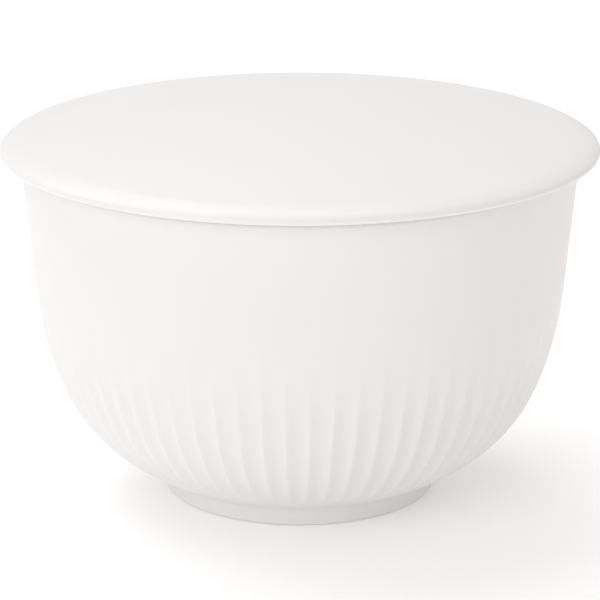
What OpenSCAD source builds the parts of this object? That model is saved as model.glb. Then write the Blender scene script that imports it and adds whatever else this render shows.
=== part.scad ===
// Lidded shaving bowl: a fluted porcelain bowl on a turned foot ring,
// a loose domed lid that drops into the mouth, and a round of hard soap.
// The foot stands on z = 0 and the axis of the bowl is the Z axis.
// One flute is centred on the front, which is -Y.

/* [Bowl] */
// diameter across the mouth, outside
mouth_d = 112; // [92:1:134]
// height of the rim above the table
rim_h = 70; // [56:0.5:86]
// lean of the straight upper wall away from upright, in degrees
wall_lean = 5.5; // [2:0.5:8]
// thickness of the wall
wall_t = 4; // [3:0.1:5.5]
// thickness of the floor under the soap
floor_t = 5.5; // [4:0.1:8]
// radius of the corner between the floor and the wall, inside
heel_r = 8; // [5:0.5:10]
// rounding of the rim's two edges
rim_edge = 1; // [0.4:0.1:1.4]

/* [Foot ring] */
// height of the foot's side, up to the crease under the body
foot_h = 3.9; // [3.4:0.1:5]
// diameter of the foot at the table
foot_d = 55; // [45:1:66]
// outward lean of the foot's side, in degrees
foot_lean = 8; // [0:1:14]
// radius of the cove between the foot and the body
cove_r = 1.8; // [1:0.1:3]
// width of the ring that stands on the table
ring_w = 4.6; // [3:0.1:6]
// rounding of the ring's two lower edges
ring_edge = 0.8; // [0.3:0.1:1.4]
// depth of the recess inside the ring
recess_h = 3.5; // [2.2:0.1:4.5]
// rounding of the corner inside the recess
recess_corner = 1.2; // [0.5:0.1:1.8]

/* [Flutes] */
// number of flutes round the body
flutes = 70; // [48:1:84]
// depth of the flutes where they first have their whole width
flute_depth = 0.58; // [0.3:0.02:0.8]
// height where the flutes die away into the plain wall
flute_top = 44.5; // [38:0.5:52]
// height below which they have their whole depth
flute_full = 24; // [16:0.5:32]
// height above the foot's crease where the flutes start
flute_start = 2; // [0.8:0.1:4]
// height in which they deepen from there
flute_ease = 5; // [2:0.5:8]

/* [Lid] */
// how far the lid stands out past the mouth
overhang = 4; // [2:0.1:6]
// rise of the lid from its seat to its crown
lid_rise = 7.4; // [6:0.1:10]
// thickness of the lid
lid_t = 4; // [3:0.1:5]
// height of the lid's widest line above its seat
lip_low = 1.2; // [0.8:0.1:1.8]
// height of the rounded edge above that line
lip_high = 2.5; // [1.8:0.1:3]
// how far in from the widest line the rounding reaches
lip_in = 10; // [5:0.5:14]
// how far in from the widest line the edge's underside is rounded
lip_under = 3; // [1.5:0.1:3.6]
// depth of the ring under the lid that drops into the mouth
spigot_h = 5; // [3:0.1:8]
// width of that ring
spigot_w = 3.4; // [2.5:0.1:5]
// rounding of that ring's two lower edges
spigot_edge = 0.8; // [0.3:0.1:1]
// gap between that ring and the inside of the mouth
spigot_gap = 1; // [0.5:0.1:2]

/* [Soap] */
// height of the soap
soap_h = 22; // [12:0.5:28]
// how far the soap stops short of the flat floor's edge
soap_inset = 0.5; // [0.2:0.1:6]
// rounding of the soap's edges
soap_edge = 2.5; // [1:0.1:4]

/* [Hidden] */
$fn = 120;
porcelain = [0.93, 0.92, 0.91];
ivory = [0.93, 0.88, 0.74];
// straight pieces in the outline of a small edge, of a rounding and of a long curve
edge_n = 4;
round_n = 6;
bend_n = 8;
long_n = 12;

// ---- the body's outline: a straight wall and three turns, each tangent to the next ----
// leans from upright where the wall, shoulder, belly and underside hand over
lean = [wall_lean, 21.4, 60, 67.3];
// the turns' radii against the belly's
ratio = [2, 1, 1.82];
run = [for (i = [0:2]) ratio[i] * (cos(lean[i]) - cos(lean[i + 1]))];
rise = [for (i = [0:2]) ratio[i] * (sin(lean[i + 1]) - sin(lean[i]))];
total_run = run[0] + run[1] + run[2];
total_rise = rise[0] + rise[1] + rise[2];
foot_r = foot_d / 2;
// radius at the crease, where the underside meets the foot's side
crease_r = foot_r + foot_h * tan(foot_lean);
// the belly's radius that brings the outline from the crease up to the wall
belly_r = (mouth_d / 2 - (rim_h - foot_h) * tan(wall_lean) - crease_r)
    / (total_run - total_rise * tan(wall_lean));
turn = belly_r * ratio;
z2 = foot_h + belly_r * rise[2];
z1 = z2 + belly_r * rise[1];
z0 = z1 + belly_r * rise[0];
r2 = crease_r + belly_r * run[2];
r1 = r2 + belly_r * run[1];
r0 = r1 + belly_r * run[0];
c0 = [r0 - turn[0] * cos(lean[0]), z0 + turn[0] * sin(lean[0])];
c1 = [r1 - turn[1] * cos(lean[1]), z1 + turn[1] * sin(lean[1])];
c2 = [r2 - turn[2] * cos(lean[2]), z2 + turn[2] * sin(lean[2])];

// points along an ellipse's quarter or an arc: 0 is level outwards, 90 is straight down
function sweep(c, rx, rz, a, b, n) =
    [for (i = [0:n]) let (t = a + (b - a) * i / n) [c[0] + rx * cos(t), c[1] - rz * sin(t)]];
function arc(c, r, a, b, n) = sweep(c, r, r, a, b, n);

// radius of the straight outer wall, carried up or down to height z
function wall_r(z) = mouth_d / 2 - (rim_h - z) * tan(wall_lean);
// the same for the inside face
function bore_r(z) = wall_r(z) - wall_t / cos(wall_lean);

// ---- flutes ----
// points across one flute
steps = 4;
around = flutes * steps;
function smooth(t) = let (u = max(0, min(1, t))) u * u * (3 - 2 * u);
// share of the whole depth at height z: nothing at the cove and at the top
function fade(z) =
    smooth((flute_top - z) / (flute_top - flute_full)) *
    smooth((z - foot_h - flute_start) / flute_ease);
// a station on the outline at height z: [radius, height, lean]
function on_turn(c, r, z) = let (t = asin((c[1] - z) / r)) [c[0] + r * cos(t), z, t];
function station(z) =
    z > z0 ? [wall_r(z), z, wall_lean] :
    z > z1 ? on_turn(c0, turn[0], z) :
    z > z2 ? on_turn(c1, turn[1], z) :
    on_turn(c2, turn[2], z);
// stations from inside the foot's cove up to the plain wall, crowded where the outline turns in
rows_n = 16;
crowding = 1.7;
below_crease = 0.4;
low_z = foot_h - below_crease;
rows = [for (i = [0:rows_n]) station(low_z + (flute_top - low_z) * pow(i / rows_n, crowding))];
full_w = station(flute_full)[0];
// one ring of points, hollowed between the arrises
function ring(s) =
    [for (i = [0:around - 1])
        let (
            u = (i % steps) / steps,
            d = flute_depth * s[0] / full_w * fade(s[1]) * 4 * u * (1 - u),
            r = s[0] - d * cos(s[2]),
            a = 360 * i / around - 90 - 180 / flutes
        )
        [r * cos(a), r * sin(a), s[1] + d * sin(s[2])]];

module fluted_body() {
    // the last ring steps in and up, so that it ends inside the plain wall
    tuck = 1;
    rings = concat([for (s = rows) ring(s)], [ring([rows[rows_n][0] - tuck, flute_top + tuck, 0])]);
    n = len(rings);
    points = [for (k = rings) for (p = k) p];
    sides = [
        for (k = [0:n - 2]) for (i = [0:around - 1])
        let (
            j = (i + 1) % around,
            a = k * around + i,
            b = k * around + j,
            c = (k + 1) * around + j,
            d = (k + 1) * around + i
        )
        each [[a, d, c], [a, c, b]]
    ];
    base = [for (i = [0:around - 1]) i];
    crown = [for (i = [0:around - 1]) n * around - 1 - i];
    polyhedron(points = points, faces = concat(sides, [base, crown]), convexity = 4);
}

// ---- foot ring and its cove ----
foot_up = [sin(foot_lean), cos(foot_lean)];
foot_out = [cos(foot_lean), -sin(foot_lean)];
// the cove's circle touches the foot's side and cuts a little into the underside
cove_bite = 0.08;
reach = turn[2] + cove_r - cove_bite;
start = [foot_r, 0] + cove_r * foot_out;
back = start - c2;
climb = -(back * foot_up) - sqrt(pow(back * foot_up, 2) - back * back + reach * reach);
cove_c = start + climb * foot_up;
cove_end = atan2(c2[1] - cove_c[1], cove_c[0] - c2[0]);
cove_z = cove_c[1] + cove_r * sin(cove_end);

module foot() {
    // beyond the cove the foot carries on this far in and up, inside the body
    root = 1.2;
    // the lower outer edge is rounded where it leaves the table
    e = [foot_r - ring_edge * (1 - sin(foot_lean)) / cos(foot_lean), ring_edge];
    rotate_extrude() polygon(concat(
        [[0, 0]],
        arc(e, ring_edge, 90, foot_lean, edge_n),
        arc(cove_c, cove_r, 180 + foot_lean, 180 + cove_end, bend_n),
        [[cove_c[0] - cove_r * cos(cove_end) - root, cove_z + root], [0, cove_z + root]]
    ));
}

module recess() {
    r = foot_r - ring_w;
    e = ring_edge;
    c = recess_corner;
    // the cut starts this far under the table
    below = 1;
    rotate_extrude() polygon(concat(
        [[0, -below], [r + e, -below]],
        arc([r + e, e], e, 90, 180, edge_n),
        arc([r - c, recess_h - c], c, 0, -90, edge_n),
        [[0, recess_h]]
    ));
}

// ---- plain upper wall ----
module upper_wall() {
    // a hair wider and lower than the fluted part's last ring, so that it covers it
    grow = 0.02;
    upper_z = flute_top - 0.1;
    // the shoulder's points are used from this far above its lower edge
    clear = 0.5;
    e = rim_edge;
    // the rounding is tangent to the rim and to the leaning wall
    c = [wall_r(rim_h - e) + grow - e / cos(wall_lean), rim_h - e];
    shoulder = arc(c0, turn[0], lean[1], lean[0], bend_n);
    rotate_extrude() polygon(concat(
        [[0, upper_z], [station(upper_z)[0] + grow, upper_z]],
        [for (p = shoulder) if (p[1] > upper_z + clear) p + [grow, 0]],
        arc(c, e, wall_lean, -90, round_n),
        [[0, rim_h]]
    ));
}

// ---- inside of the bowl ----
floor_z = recess_h + floor_t;
heel_t = asin((c1[1] - heel_r - floor_z) / (turn[1] - wall_t - heel_r));
heel_c = [c1[0] + (turn[1] - wall_t - heel_r) * cos(heel_t), floor_z + heel_r];
module cavity() {
    e = rim_edge;
    // the cut goes on this far above the rim
    above = 1;
    c = [bore_r(rim_h - e) + e / cos(wall_lean), rim_h - e];
    rotate_extrude() polygon(concat(
        [[0, floor_z]],
        arc(heel_c, heel_r, 90, heel_t, bend_n),
        arc(c1, turn[1] - wall_t, heel_t, lean[1], long_n),
        arc(c0, turn[0] - wall_t, lean[1], lean[0], bend_n),
        arc(c, e, 180 + wall_lean, 270, round_n),
        [[c[0], rim_h + above], [0, rim_h + above]]
    ));
}

module bowl() {
    color(porcelain) difference() {
        union() {
            foot();
            fluted_body();
            upper_wall();
        }
        cavity();
        recess();
    }
}

// ---- lid ----
lid_r = mouth_d / 2 + overhang;
lip_z = rim_h + lip_low;
crown_z = rim_h + lid_rise;
// the rounded edge ends where its slope meets the dome's
dome_slope = 2 * atan((lid_rise - lip_low - lip_high) / (lid_r - lip_in));
lip_t = atan2(lip_high, lip_in * tan(dome_slope));
brow = [lid_r - lip_in + lip_in * cos(lip_t), lip_z + lip_high * sin(lip_t)];
dome_h = crown_z - brow[1];
dome_r = (brow[0] * brow[0] + dome_h * dome_h) / (2 * dome_h);
dome_c = [0, crown_z - dome_r];
spigot_r = bore_r(rim_h) - spigot_gap;

module lid() {
    q = asin(brow[0] / dome_r);
    rin = spigot_r - spigot_w;
    qin = asin(rin / (dome_r - lid_t));
    low_r = spigot_r - spigot_h * tan(wall_lean);
    e = spigot_edge;
    color(porcelain) rotate_extrude() polygon(concat(
        arc(dome_c, dome_r - lid_t, -90, -90 + qin, bend_n),
        arc([rin + e, rim_h - spigot_h + e], e, 180, 90, edge_n),
        arc([low_r - e, rim_h - spigot_h + e], e, 90, 0, edge_n),
        [[spigot_r, rim_h]],
        sweep([lid_r - lip_under, lip_z], lip_under, lip_low, 90, 0, round_n),
        [for (i = [1:bend_n]) let (t = lip_t * i / bend_n)
            [lid_r - lip_in + lip_in * cos(t), lip_z + lip_high * sin(t)]],
        [for (i = [1:long_n]) let (t = q * (1 - i / long_n))
            [dome_r * sin(t), dome_c[1] + dome_r * cos(t)]]
    ));
}

// ---- soap ----
soap_r = heel_c[0] - soap_inset;
module soap_puck() {
    e = soap_edge;
    color(ivory) translate([0, 0, floor_z]) rotate_extrude() polygon(concat(
        [[0, 0]],
        arc([soap_r - e, e], e, 90, 0, round_n),
        arc([soap_r - e, soap_h - e], e, 0, -90, round_n),
        [[0, soap_h]]
    ));
}

bowl();
lid();
soap_puck();
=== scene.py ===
import math

import bpy
import mathutils
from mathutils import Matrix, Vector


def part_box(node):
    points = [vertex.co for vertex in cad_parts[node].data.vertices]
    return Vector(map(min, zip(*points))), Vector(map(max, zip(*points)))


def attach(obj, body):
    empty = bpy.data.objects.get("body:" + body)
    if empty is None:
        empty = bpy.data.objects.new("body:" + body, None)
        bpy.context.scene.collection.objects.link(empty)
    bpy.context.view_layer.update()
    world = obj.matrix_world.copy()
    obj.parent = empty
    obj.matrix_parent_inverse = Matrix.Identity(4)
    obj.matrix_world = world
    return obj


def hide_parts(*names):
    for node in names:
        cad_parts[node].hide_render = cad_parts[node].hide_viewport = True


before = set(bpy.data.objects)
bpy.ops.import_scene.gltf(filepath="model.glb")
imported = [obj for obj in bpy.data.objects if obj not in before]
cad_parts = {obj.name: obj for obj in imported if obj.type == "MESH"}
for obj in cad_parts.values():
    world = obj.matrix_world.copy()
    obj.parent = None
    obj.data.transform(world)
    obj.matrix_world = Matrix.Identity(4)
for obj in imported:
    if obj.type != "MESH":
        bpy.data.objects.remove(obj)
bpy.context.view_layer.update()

mm = 0.001


# ---- Bowl ----
# One piece of white porcelain, cast in a mould with its foot ring, glazed and fired. Its outline
# is drawn once, from the axis under the foot round to the axis inside, and is then turned into
# a closed skin. The flutes are pressed into that skin afterwards.

# where the outline has got to, and its heading in radians, with 0 for straight outwards
pen = {"x": 0.0, "z": 0.0, "heading": 0.0}


def sine(degrees):
    return math.sin(math.radians(degrees))


def cosine(degrees):
    return math.cos(math.radians(degrees))


def put_pen(piece_name, height):
    """Starts the outline of a new piece on the axis, heading outwards."""
    bpy.ops.object.select_all(action="DESELECT")
    bpy.ops.mesh.primitive_plane_add(size=1 * mm)
    bpy.context.object.name = piece_name
    bpy.ops.object.mode_set(mode="EDIT")
    bpy.ops.mesh.select_all(action="SELECT")
    bpy.ops.mesh.merge(type="CENTER")
    bpy.ops.transform.translate(value=(0, 0, height))
    pen.update(x=0.0, z=height, heading=0.0)


def ahead(length, rows=1):
    """Draws the outline straight on."""
    across = length * math.cos(pen["heading"])
    up = length * math.sin(pen["heading"])
    step = (across / rows, 0, up / rows)
    for row in range(rows):
        bpy.ops.mesh.extrude_region_move(TRANSFORM_OT_translate={"value": step})
    pen["x"] += across
    pen["z"] += up


def bend(radius, degrees, rows):
    """Draws an arc, to the left for a positive angle and to the right for a negative one."""
    turn = math.radians(degrees)
    side = math.copysign(radius, turn)
    centre_x = pen["x"] - side * math.sin(pen["heading"])
    centre_z = pen["z"] + side * math.cos(pen["heading"])
    bpy.ops.mesh.spin(steps=rows, angle=turn, center=(centre_x, 0, centre_z), axis=(0, 1, 0))
    pen["heading"] += turn
    pen["x"] = centre_x + side * math.sin(pen["heading"])
    pen["z"] = centre_z - side * math.cos(pen["heading"])


def level_to(radius, hold=0.5 * mm):
    """Draws a flat stretch to a radius, with a short row at each end that keeps it flat."""
    length = abs(radius - pen["x"])
    hold = min(hold, length / 3)
    ahead(hold)
    ahead(length - 2 * hold)
    ahead(hold)


def turn_round(columns):
    """Turns the outline round the axis into a closed skin that faces outwards."""
    full_turn = 2 * math.pi
    bpy.ops.mesh.select_all(action="SELECT")
    bpy.ops.mesh.spin(steps=columns, angle=full_turn, center=(0, 0, 0), axis=(0, 0, 1), use_auto_merge=True)
    bpy.ops.mesh.select_all(action="SELECT")
    bpy.ops.mesh.remove_doubles(threshold=0.001 * mm)
    bpy.ops.mesh.normals_make_consistent(inside=False)
    bpy.ops.object.mode_set(mode="OBJECT")
    bpy.ops.object.shade_smooth()
    return bpy.context.object


rim_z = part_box("bowl")[1][2]
rim_edge = 1 * mm
wall_t = 4 * mm
wall_lean = 5.5
flutes = 70

# the foot: a ring that stands on its flat edge, round a shallow recess
foot_r = 27.5 * mm
foot_lean = 8
foot_side = 2.2 * mm
ring_w = 4.6 * mm
ring_edge = 0.8 * mm
recess_h = 3.5 * mm
recess_corner = 1.2 * mm
cove_r = 1.8 * mm
cove_turn = 58.34

# the body: three turns between the foot and the wall, and how far each of the lower two leans
# from upright where it hands over to the next one up
keel_r = 59.76 * mm
belly_r = 32.84 * mm
shoulder_r = 65.67 * mm
belly_lean = 60
shoulder_lean = 21.4

# the inside: the same turns, less the wall, and a heel that runs out into a flat floor
floor_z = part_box("soap_puck")[0][2]
heel_r = 8 * mm

put_pen("porcelain_bowl", recess_h)
level_to(foot_r - ring_w - recess_corner)
bend(recess_corner, -90, 4)
ahead(recess_h - recess_corner - ring_edge)
bend(ring_edge, 90, 5)
level_to(foot_r - ring_edge * (1 - sine(foot_lean)) / cosine(foot_lean))
bend(ring_edge, 90 - foot_lean, 5)
ahead(foot_side, rows=2)
bend(cove_r, -cove_turn, 8)
bend(keel_r, foot_lean + cove_turn - belly_lean, 4)
bend(belly_r, belly_lean - shoulder_lean, 16)
belly_centre_z = pen["z"] + belly_r * sine(shoulder_lean)
bend(shoulder_r, shoulder_lean - wall_lean, 9)
wall_start = pen["z"]
wall_end = rim_z - rim_edge * (1 + sine(wall_lean))
ahead((wall_end - wall_start) / cosine(wall_lean), rows=5)
bend(rim_edge, 90 + wall_lean, 6)
ahead((wall_t - 2 * rim_edge) / cosine(wall_lean))
bend(rim_edge, 90 - wall_lean, 6)
inner_wall_start = wall_start + wall_t * sine(wall_lean)
ahead((pen["z"] - inner_wall_start) / cosine(wall_lean), rows=2)
bend(shoulder_r - wall_t, wall_lean - shoulder_lean, 6)
heel_rise = (belly_centre_z - heel_r - floor_z) / (belly_r - wall_t - heel_r)
heel_lean = math.degrees(math.asin(heel_rise))
bend(belly_r - wall_t, shoulder_lean - heel_lean, 10)
bend(heel_r, heel_lean - 90, 6)
level_to(0)
columns_in_flute = 12
porcelain_bowl = turn_round(columns=columns_in_flute * flutes)

# The flutes: shallow scallops side by side, deepest round the belly, where they take up the
# whole surface. They die away into the plain wall above and just short of the cove below.
flute_depth = 0.60 * mm
flute_top = 44.5 * mm
flute_full = 24 * mm
flute_start = 5.9 * mm
flute_ease = 5 * mm
# a flute narrows with the bowl and gets shallower with it: it has its full depth at this radius
full_width_r = 49.1 * mm
# the glaze rounds each ridge between two flutes, over this share of a flute's width on each
# side, and lowers it by this share of the depth
ridge_width = 1 / 6
ridge_round = 0.2
# how much painted shade a spot gets: 0 on a ridge, which gets a painted highlight, 1 in a hollow, which
# gets the most painted shade, and this on a plain surface
plain_shade = 0.5


def ease(share):
    """A smooth step from 0 to 1."""
    share = max(0, min(1, share))
    return share * share * (3 - 2 * share)


# Each point also stores how much shade is painted into its colour: darker down in a flute's hollow, lighter
# as a painted highlight on a ridge.
pressed = porcelain_bowl.vertex_groups.new(name="flutes")
flute_shade_values = []
for vertex in porcelain_bowl.data.vertices:
    x, y, z = vertex.co
    radius = math.hypot(x, y)
    outside = vertex.normal.x * x + vertex.normal.y * y > 0.1 * radius
    strength = ease((flute_top - z) / (flute_top - flute_full)) * ease((z - flute_start) / flute_ease)
    if not outside or strength == 0:
        flute_shade_values.append(plain_shade)
        continue
    across = ((math.degrees(math.atan2(y, x)) + 90) * flutes / 360 + 0.5) % 1
    scallop = 4 * across * (1 - across)
    ridge = max(0, 1 - min(across, 1 - across) / ridge_width) ** 2
    weight = strength * radius / full_width_r * (scallop + ridge_round * ridge)
    pressed.add([vertex.index], min(1, weight), "REPLACE")
    # painted shade in the hollow, painted highlight on the ridge
    flute_shade_values.append(plain_shade + 0.5 * strength * (scallop - ridge))
press = porcelain_bowl.modifiers.new("press_flutes", "DISPLACE")
press.vertex_group = "flutes"
press.direction = "NORMAL"
press.mid_level = 0
press.strength = -flute_depth
bpy.ops.object.modifier_apply(modifier="press_flutes")
painted_flute_shade = porcelain_bowl.data.attributes.new("painted_flute_shade", "FLOAT", "POINT")
painted_flute_shade.data.foreach_set("value", flute_shade_values)


def new_material(material_name):
    """An empty node material: returns it with its nodes, its links and its shader."""
    material = bpy.data.materials.new(material_name)
    material.use_nodes = True
    nodes = material.node_tree.nodes
    return material, nodes, material.node_tree.links, nodes["Principled BSDF"]


def noise(nodes, links, place, scale, detail=3, roughness=0.5, distortion=0.0):
    """A noise pattern in object space; scale is in repeats a metre."""
    node = nodes.new("ShaderNodeTexNoise")
    node.inputs["Scale"].default_value = scale
    node.inputs["Detail"].default_value = detail
    node.inputs["Roughness"].default_value = roughness
    node.inputs["Distortion"].default_value = distortion
    links.new(place.outputs["Object"], node.inputs["Vector"])
    return node.outputs["Fac"]


def spread(nodes, links, value, low, high, from_low=0.3, from_high=0.7):
    """Maps a pattern's middle range on to low and high."""
    node = nodes.new("ShaderNodeMapRange")
    node.inputs["From Min"].default_value = from_low
    node.inputs["From Max"].default_value = from_high
    node.inputs["To Min"].default_value = low
    node.inputs["To Max"].default_value = high
    links.new(value, node.inputs["Value"])
    return node.outputs["Result"]


def mixed(nodes, links, share, first, second):
    """Mixes two colours, each a plain colour or another node's output."""
    node = nodes.new("ShaderNodeMix")
    node.data_type = "RGBA"
    links.new(share, node.inputs["Factor"])
    for socket, colour in ((node.inputs["A"], first), (node.inputs["B"], second)):
        if isinstance(colour, tuple):
            socket.default_value = (*colour, 1)
        else:
            links.new(colour, socket)
    return node.outputs["Result"]


def raised(nodes, links, heights):
    """Stacks bumps, each a pattern, its strength and its height in metres; returns the normal."""
    normal = None
    for pattern, strength, height in heights:
        node = nodes.new("ShaderNodeBump")
        node.inputs["Strength"].default_value = strength
        node.inputs["Distance"].default_value = height
        links.new(pattern, node.inputs["Height"])
        if normal:
            links.new(normal, node.inputs["Normal"])
        normal = node.outputs["Normal"]
    return normal


def porcelain_glaze(material_name):
    """White porcelain under a satin glaze, painted a little darker in the flutes' hollows as shade and a
    little lighter on their ridges as a highlight.

    A piece without the flutes' painted shade attribute reads as 0, and gets the ridges' painted highlight
    white all over.
    """
    body_white, cloud_white = (0.800, 0.790, 0.779), (0.814, 0.806, 0.797)
    # painted shade for the flutes' hollows and a painted highlight for their ridges
    shaded_hollow_white, highlit_ridge_white = (0.788, 0.776, 0.763), (0.835, 0.827, 0.816)
    material, nodes, links, shader = new_material(material_name)
    place = nodes.new("ShaderNodeTexCoord")
    clouds = spread(nodes, links, noise(nodes, links, place, scale=22, detail=2), 0, 1)
    body = mixed(nodes, links, clouds, body_white, cloud_white)
    # the stored painted shade darkens the hollows and lightens the ridges
    shade_lookup = nodes.new("ShaderNodeAttribute")
    shade_lookup.attribute_name = "painted_flute_shade"
    hollow_shade = spread(nodes, links, shade_lookup.outputs["Fac"], 0, 1, from_low=plain_shade, from_high=1)
    ridge_highlight = spread(nodes, links, shade_lookup.outputs["Fac"], 1, 0, from_low=0, from_high=plain_shade)
    shaded_body = mixed(nodes, links, hollow_shade, body, shaded_hollow_white)
    links.new(mixed(nodes, links, ridge_highlight, shaded_body, highlit_ridge_white), shader.inputs["Base Color"])
    patches = noise(nodes, links, place, scale=60, detail=4)
    links.new(spread(nodes, links, patches, 0.38, 0.46), shader.inputs["Roughness"])
    waves = noise(nodes, links, place, scale=90, detail=2)
    peel = noise(nodes, links, place, scale=900, detail=2)
    surface = raised(nodes, links, [(waves, 0.25, 0.12 * mm), (peel, 0.12, 0.02 * mm)])
    links.new(surface, shader.inputs["Normal"])
    shader.inputs["IOR"].default_value = 1.5
    shader.inputs["Coat Weight"].default_value = 0.15
    shader.inputs["Coat Roughness"].default_value = 0.25
    return material


def bare_porcelain(material_name):
    """Porcelain left without glaze where a piece stood in the kiln: creamier, dry, fine in grain."""
    clean_bisque, worn_bisque = (0.80, 0.765, 0.70), (0.70, 0.655, 0.58)
    material, nodes, links, shader = new_material(material_name)
    place = nodes.new("ShaderNodeTexCoord")
    wear = noise(nodes, links, place, scale=300, detail=5, roughness=0.65)
    tint = spread(nodes, links, wear, 0, 1, from_low=0.35, from_high=0.75)
    links.new(mixed(nodes, links, tint, clean_bisque, worn_bisque), shader.inputs["Base Color"])
    links.new(spread(nodes, links, wear, 0.72, 0.9), shader.inputs["Roughness"])
    grain = noise(nodes, links, place, scale=3500, detail=3)
    links.new(raised(nodes, links, [(grain, 0.5, 0.04 * mm)]), shader.inputs["Normal"])
    return material


def leave_bare(piece, low, high, inner, outer):
    """Gives the bare finish to the downward faces in a ring between two heights and two radii."""
    piece.data.materials.append(bare_porcelain(piece.name + "_bare"))
    for face in piece.data.polygons:
        radius = math.hypot(face.center.x, face.center.y)
        faces_down = face.normal.z < -0.8
        if faces_down and low < face.center.z < high and inner < radius < outer:
            face.material_index = 1


porcelain_bowl.data.materials.append(porcelain_glaze("porcelain_bowl_glaze"))
leave_bare(porcelain_bowl, -0.1 * mm, 0.2 * mm, foot_r - ring_w, foot_r)
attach(porcelain_bowl, "bowl")
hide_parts("bowl")


# ---- Soap ----
# A round of hard triple-milled shaving soap, pressed in a die, loose on the bowl's floor.
# The die gives it a raised edge, a shallow dish and one plain ring round a low crown.
soap_low, soap_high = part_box("soap_puck")
soap_r = soap_high[0]
soap_foot_edge = 2 * mm
soap_top_edge = 2.2 * mm
soap_rim_w = 3.4 * mm
dish_round, dish_turn = 0.9 * mm, 32
dish_w = 4 * mm
bead_round, bead_turn = 0.7 * mm, 38
bead_gap = 1.6 * mm
crown_round, crown_turn = 1.5 * mm, 3.5

put_pen("shaving_soap", soap_low[2])
level_to(soap_r - soap_foot_edge)
bend(soap_foot_edge, 90, 8)
ahead(soap_high[2] - soap_low[2] - soap_foot_edge - soap_top_edge, rows=4)
bend(soap_top_edge, 90, 8)
level_to(pen["x"] - soap_rim_w)
bend(dish_round, dish_turn, 4)
bend(dish_round, -dish_turn, 4)
level_to(pen["x"] - dish_w)
bend(bead_round, -bead_turn, 4)
bend(bead_round, 2 * bead_turn, 7)
bend(bead_round, -bead_turn, 4)
level_to(pen["x"] - bead_gap)
bend(crown_round, -crown_turn, 2)
bend(pen["x"] / sine(crown_turn), crown_turn, 8)
shaving_soap = turn_round(columns=192)


def milled_soap(material_name):
    """Ivory soap: waxy, with the faint swirl that milling leaves and a fine dry bloom on top."""
    ivory, pale_ivory, bloom_white = (0.835, 0.765, 0.605), (0.87, 0.81, 0.66), (0.92, 0.88, 0.78)
    material, nodes, links, shader = new_material(material_name)
    place = nodes.new("ShaderNodeTexCoord")
    swirl = noise(nodes, links, place, scale=70, detail=5, roughness=0.55, distortion=2.2)
    marbled = mixed(nodes, links, spread(nodes, links, swirl, 0, 1), ivory, pale_ivory)
    bloom = noise(nodes, links, place, scale=420, detail=4, roughness=0.6)
    dusted = spread(nodes, links, bloom, 0, 0.25, from_low=0.5, from_high=0.75)
    links.new(mixed(nodes, links, dusted, marbled, bloom_white), shader.inputs["Base Color"])
    links.new(spread(nodes, links, bloom, 0.42, 0.62), shader.inputs["Roughness"])
    dents = noise(nodes, links, place, scale=160, detail=3)
    grain = noise(nodes, links, place, scale=1500, detail=3)
    surface = raised(nodes, links, [(dents, 0.3, 0.25 * mm), (grain, 0.3, 0.04 * mm)])
    links.new(surface, shader.inputs["Normal"])
    shader.inputs["Subsurface Weight"].default_value = 0.15
    shader.inputs["Subsurface Radius"].default_value = (1.0, 0.6, 0.3)
    shader.inputs["Subsurface Scale"].default_value = 2 * mm
    return material


shaving_soap.data.materials.append(milled_soap("milled_soap"))
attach(shaving_soap, "soap")
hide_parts("soap_puck")


# ---- Lid ----
# One piece of the same porcelain: a low dome with a full, rounded edge that stands out past
# the mouth. It rests on the rim by its own weight, and a ring underneath keeps it central.
lid_low, lid_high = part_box("lid")
lid_r = 60 * mm
lid_t = 4 * mm
dome_slope = 8

# the edge, from the seat outwards and up: a sloping underside, a nose and a brow in two turns
edge_low = 1.2 * mm
under_bend_r, under_slope = 1 * mm, 16
nose_under_r = 0.45 * mm
nose_over_r, nose_over_turn = 1.05 * mm, 52
brow_r, brow_turn = 4.5 * mm, 18
upper_brow_r = 16 * mm

# the ring that drops into the mouth
rim_r = 56 * mm
ring_gap = 1 * mm
lid_ring_w = 3.4 * mm
lid_ring_edge = 0.8 * mm
ring_root_r = 1.2 * mm
seat_corner_r = 0.5 * mm
ring_outer = rim_r - wall_t / cosine(wall_lean) - ring_gap
ring_inner = ring_outer - lid_ring_w

# how much of the radius each part of the edge takes up, and how steep it is
under_rise = edge_low - nose_under_r * cosine(under_slope) - under_bend_r * (1 - cosine(under_slope))
under_run = under_rise / sine(under_slope)
under_in = under_bend_r * sine(under_slope) + under_run * cosine(under_slope)
seat_outer = lid_r - under_in - nose_under_r * (1 - sine(under_slope))
nose_slope = 90 - nose_over_turn
brow_slope = nose_slope - brow_turn
over_in = (nose_over_r * (1 - sine(nose_slope)) + brow_r * (sine(nose_slope) - sine(brow_slope))
           + upper_brow_r * (sine(brow_slope) - sine(dome_slope)))
dome_r = (lid_r - over_in) / sine(dome_slope)
inside_slope = math.degrees(math.asin((ring_inner - ring_root_r) / (dome_r - lid_t)))

put_pen("porcelain_lid", lid_high[2] - lid_t)
bend(dome_r - lid_t, -inside_slope, 10)
bend(ring_root_r, inside_slope - 90, 6)
ahead(pen["z"] - lid_low[2] - lid_ring_edge, rows=2)
bend(lid_ring_edge, 90, 6)
ring_low_outer = ring_outer - (rim_z - lid_low[2]) * math.tan(math.radians(wall_lean))
ahead(ring_low_outer - lid_ring_edge - pen["x"])
bend(lid_ring_edge, 90 - wall_lean, 6)
ahead((rim_z - seat_corner_r - pen["z"]) / cosine(wall_lean), rows=2)
bend(seat_corner_r, wall_lean - 90, 4)
level_to(seat_outer)
bend(under_bend_r, under_slope, 3)
ahead(under_run, rows=2)
bend(nose_under_r, 90 - under_slope, 6)
bend(nose_over_r, nose_over_turn, 8)
bend(brow_r, brow_turn, 5)
bend(upper_brow_r, brow_slope - dome_slope, 6)
bend(dome_r, dome_slope, 26)
porcelain_lid = turn_round(columns=420)

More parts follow.
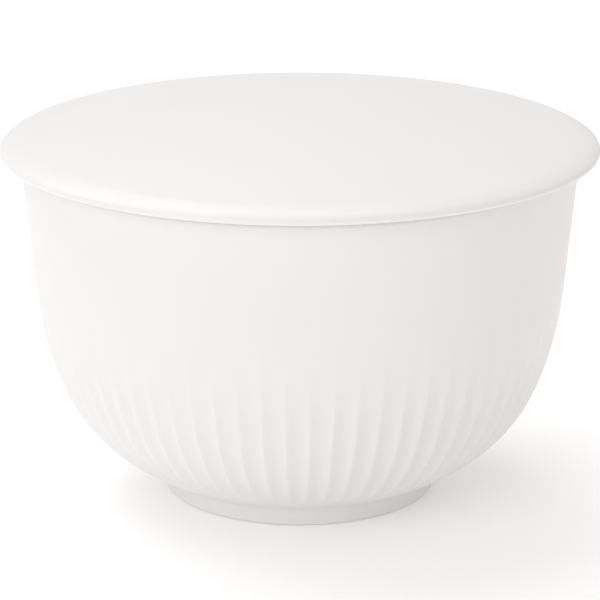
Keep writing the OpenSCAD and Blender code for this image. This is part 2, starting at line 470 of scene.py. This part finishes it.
porcelain_lid.data.materials.append(porcelain_glaze("porcelain_lid_glaze"))
leave_bare(porcelain_lid, rim_z - 0.2 * mm, rim_z + 0.2 * mm, ring_outer, seat_outer)
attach(porcelain_lid, "lid")
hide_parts("lid")


# ---- Studio ----
# A plain white table, which glows faintly of its own and so lights the bowl from below, under a white sky.
# A wide soft panel hangs overhead, another stands on the left, and a long lens looks down a little on the
# bowl.
table_size = 8
table_gap = 0.05 * mm
bpy.ops.object.select_all(action="DESELECT")
bpy.ops.mesh.primitive_plane_add(size=table_size, location=(0, 0, -table_gap))
table_top = bpy.context.object
table_top.name = "table_top"
glowing_table_white, table_nodes, table_links, table_shader = new_material("glowing_table_white")
table_shader.inputs["Base Color"].default_value = (0.95, 0.95, 0.95, 1)
table_shader.inputs["Roughness"].default_value = 0.8
# a faint glow painted into the table, which lights the bowl's underside from below like a lamp
table_shader.inputs["Emission Color"].default_value = (1, 1, 1, 1)
table_shader.inputs["Emission Strength"].default_value = 0.15
table_top.data.materials.append(glowing_table_white)

sky = bpy.data.worlds.new("white_sky")
sky.use_nodes = True
sky.node_tree.nodes["Background"].inputs["Color"].default_value = (1, 0.970, 0.948, 1)
sky.node_tree.nodes["Background"].inputs["Strength"].default_value = 0.705
bpy.context.scene.world = sky
bpy.context.scene.view_settings.view_transform = "Standard"

panel_white = (0.93, 0.97, 1.0)
panel_aim = mathutils.Vector((0, 0, 40 * mm))
for panel_name, stand, size, power in (
    ("side_panel", (-0.76, -1.17, 0.62), 0.9, 4.8),
    ("top_panel", (-0.46, 0.56, 1.42), 1.5, 11.2),
):
    bpy.ops.object.light_add(type="AREA", location=stand)
    panel = bpy.context.object
    panel.name = panel_name
    panel.data.shape = "SQUARE"
    panel.data.size = size
    panel.data.energy = power
    panel.data.color = panel_white
    towards_bowl = panel_aim - mathutils.Vector(stand)
    panel.rotation_euler = towards_bowl.to_track_quat("-Z", "Y").to_euler()

stand_back = 0.603
eye_height = 0.2214
look_down = 16.87
round_by = 0.72
eye = (stand_back * sine(round_by), -stand_back * cosine(round_by), eye_height)
tilt = (math.radians(90 - look_down), 0, math.radians(round_by))
bpy.ops.object.camera_add(location=eye, rotation=tilt)
camera = bpy.context.object
camera.name = "camera"
camera.data.lens = 185.8
camera.data.sensor_width = 36
bpy.context.scene.camera = camera
